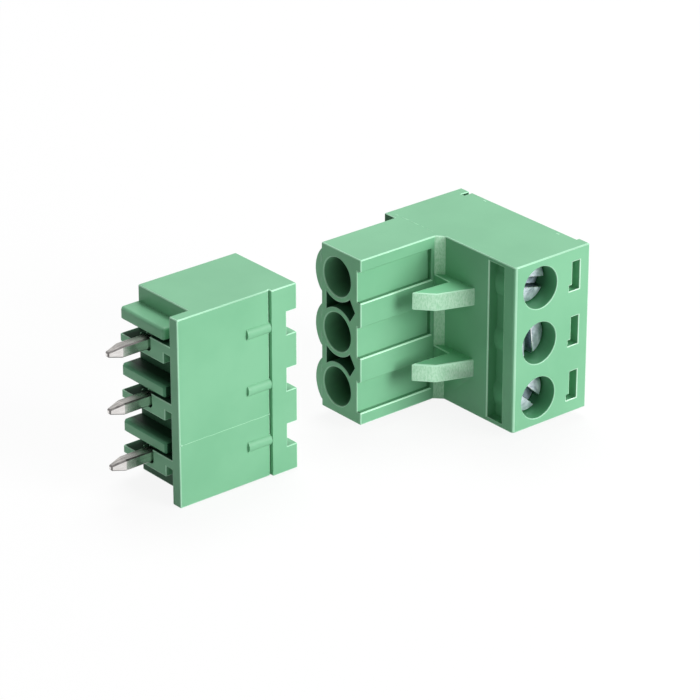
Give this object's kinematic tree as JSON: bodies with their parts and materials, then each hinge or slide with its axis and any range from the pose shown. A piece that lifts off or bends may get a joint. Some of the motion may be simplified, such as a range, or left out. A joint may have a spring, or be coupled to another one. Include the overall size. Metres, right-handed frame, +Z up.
{
  "type": "pluggable terminal block",
  "caption": "Pluggable terminal block: shrouded board header with square pins, and the screw plug with latch fingers and rising-cage clamps that slides onto it.",
  "frame": {"origin": "where the middle header pin's axis meets the face of the circuit board", "axes": "+X from the board towards the plug, +Z up along the row of positions, -Y the side of the latch fingers and screw heads"},
  "size_m": [0.041, 0.016, 0.0168],
  "materials": {
    "green_plastic": "moulded polyamide, light green, semi-matt with fine grain",
    "tin_plate": "tin-plated copper alloy, satin, drawn along the pin",
    "contact_metal": "tin-plated spring bronze, satin",
    "cage_metal": "nickel-plated brass",
    "zinc_steel": "bright zinc-plated steel with a bluish tinge and turning marks"
  },
  "bodies": {
    "header": {"header_housing": "green_plastic", "header_pin_1": "tin_plate", "header_pin_2": "tin_plate", "header_pin_3": "tin_plate"},
    "plug": {"plug_housing": "green_plastic", "socket_contact_1": "contact_metal", "socket_contact_2": "contact_metal", "socket_contact_3": "contact_metal"},
    "screw_1": {"clamp_screw_1": "zinc_steel"},
    "cage_1": {"clamp_cage_1": "cage_metal"},
    "screw_2": {"clamp_screw_2": "zinc_steel"},
    "cage_2": {"clamp_cage_2": "cage_metal"},
    "screw_3": {"clamp_screw_3": "zinc_steel"},
    "cage_3": {"clamp_cage_3": "cage_metal"}
  },
  "joints": [
    {"name": "plug_insertion", "type": "slide", "parent": "header", "child": "plug", "axis": [-1, 0, 0], "range_m": [0, 0.016]},
    {"name": "cage_rise_1", "type": "slide", "parent": "plug", "child": "cage_1", "axis": [0, -1, 0], "range_m": [0, 0.00275]},
    {"name": "screw_turn_1", "type": "hinge", "parent": "plug", "child": "screw_1", "pos_m": [0.03165, -0.01105, -0.00508], "axis": [0, 1, 0], "range_deg": [0, 1980.5]},
    {"name": "cage_rise_2", "type": "slide", "parent": "plug", "child": "cage_2", "axis": [0, -1, 0], "range_m": [0, 0.00275]},
    {"name": "screw_turn_2", "type": "hinge", "parent": "plug", "child": "screw_2", "pos_m": [0.03165, -0.01105, 0], "axis": [0, 1, 0], "range_deg": [0, 1980.5]},
    {"name": "cage_rise_3", "type": "slide", "parent": "plug", "child": "cage_3", "axis": [0, -1, 0], "range_m": [0, 0.00275]},
    {"name": "screw_turn_3", "type": "hinge", "parent": "plug", "child": "screw_3", "pos_m": [0.03165, -0.01105, 0.00508], "axis": [0, 1, 0], "range_deg": [0, 1980.5]}
  ],
  "couplings": [
    {"joint": "screw_turn_1", "follows": "cage_rise_1", "rad_per_m": 12566},
    {"joint": "screw_turn_2", "follows": "cage_rise_2", "rad_per_m": 12566},
    {"joint": "screw_turn_3", "follows": "cage_rise_3", "rad_per_m": 12566}
  ]
}
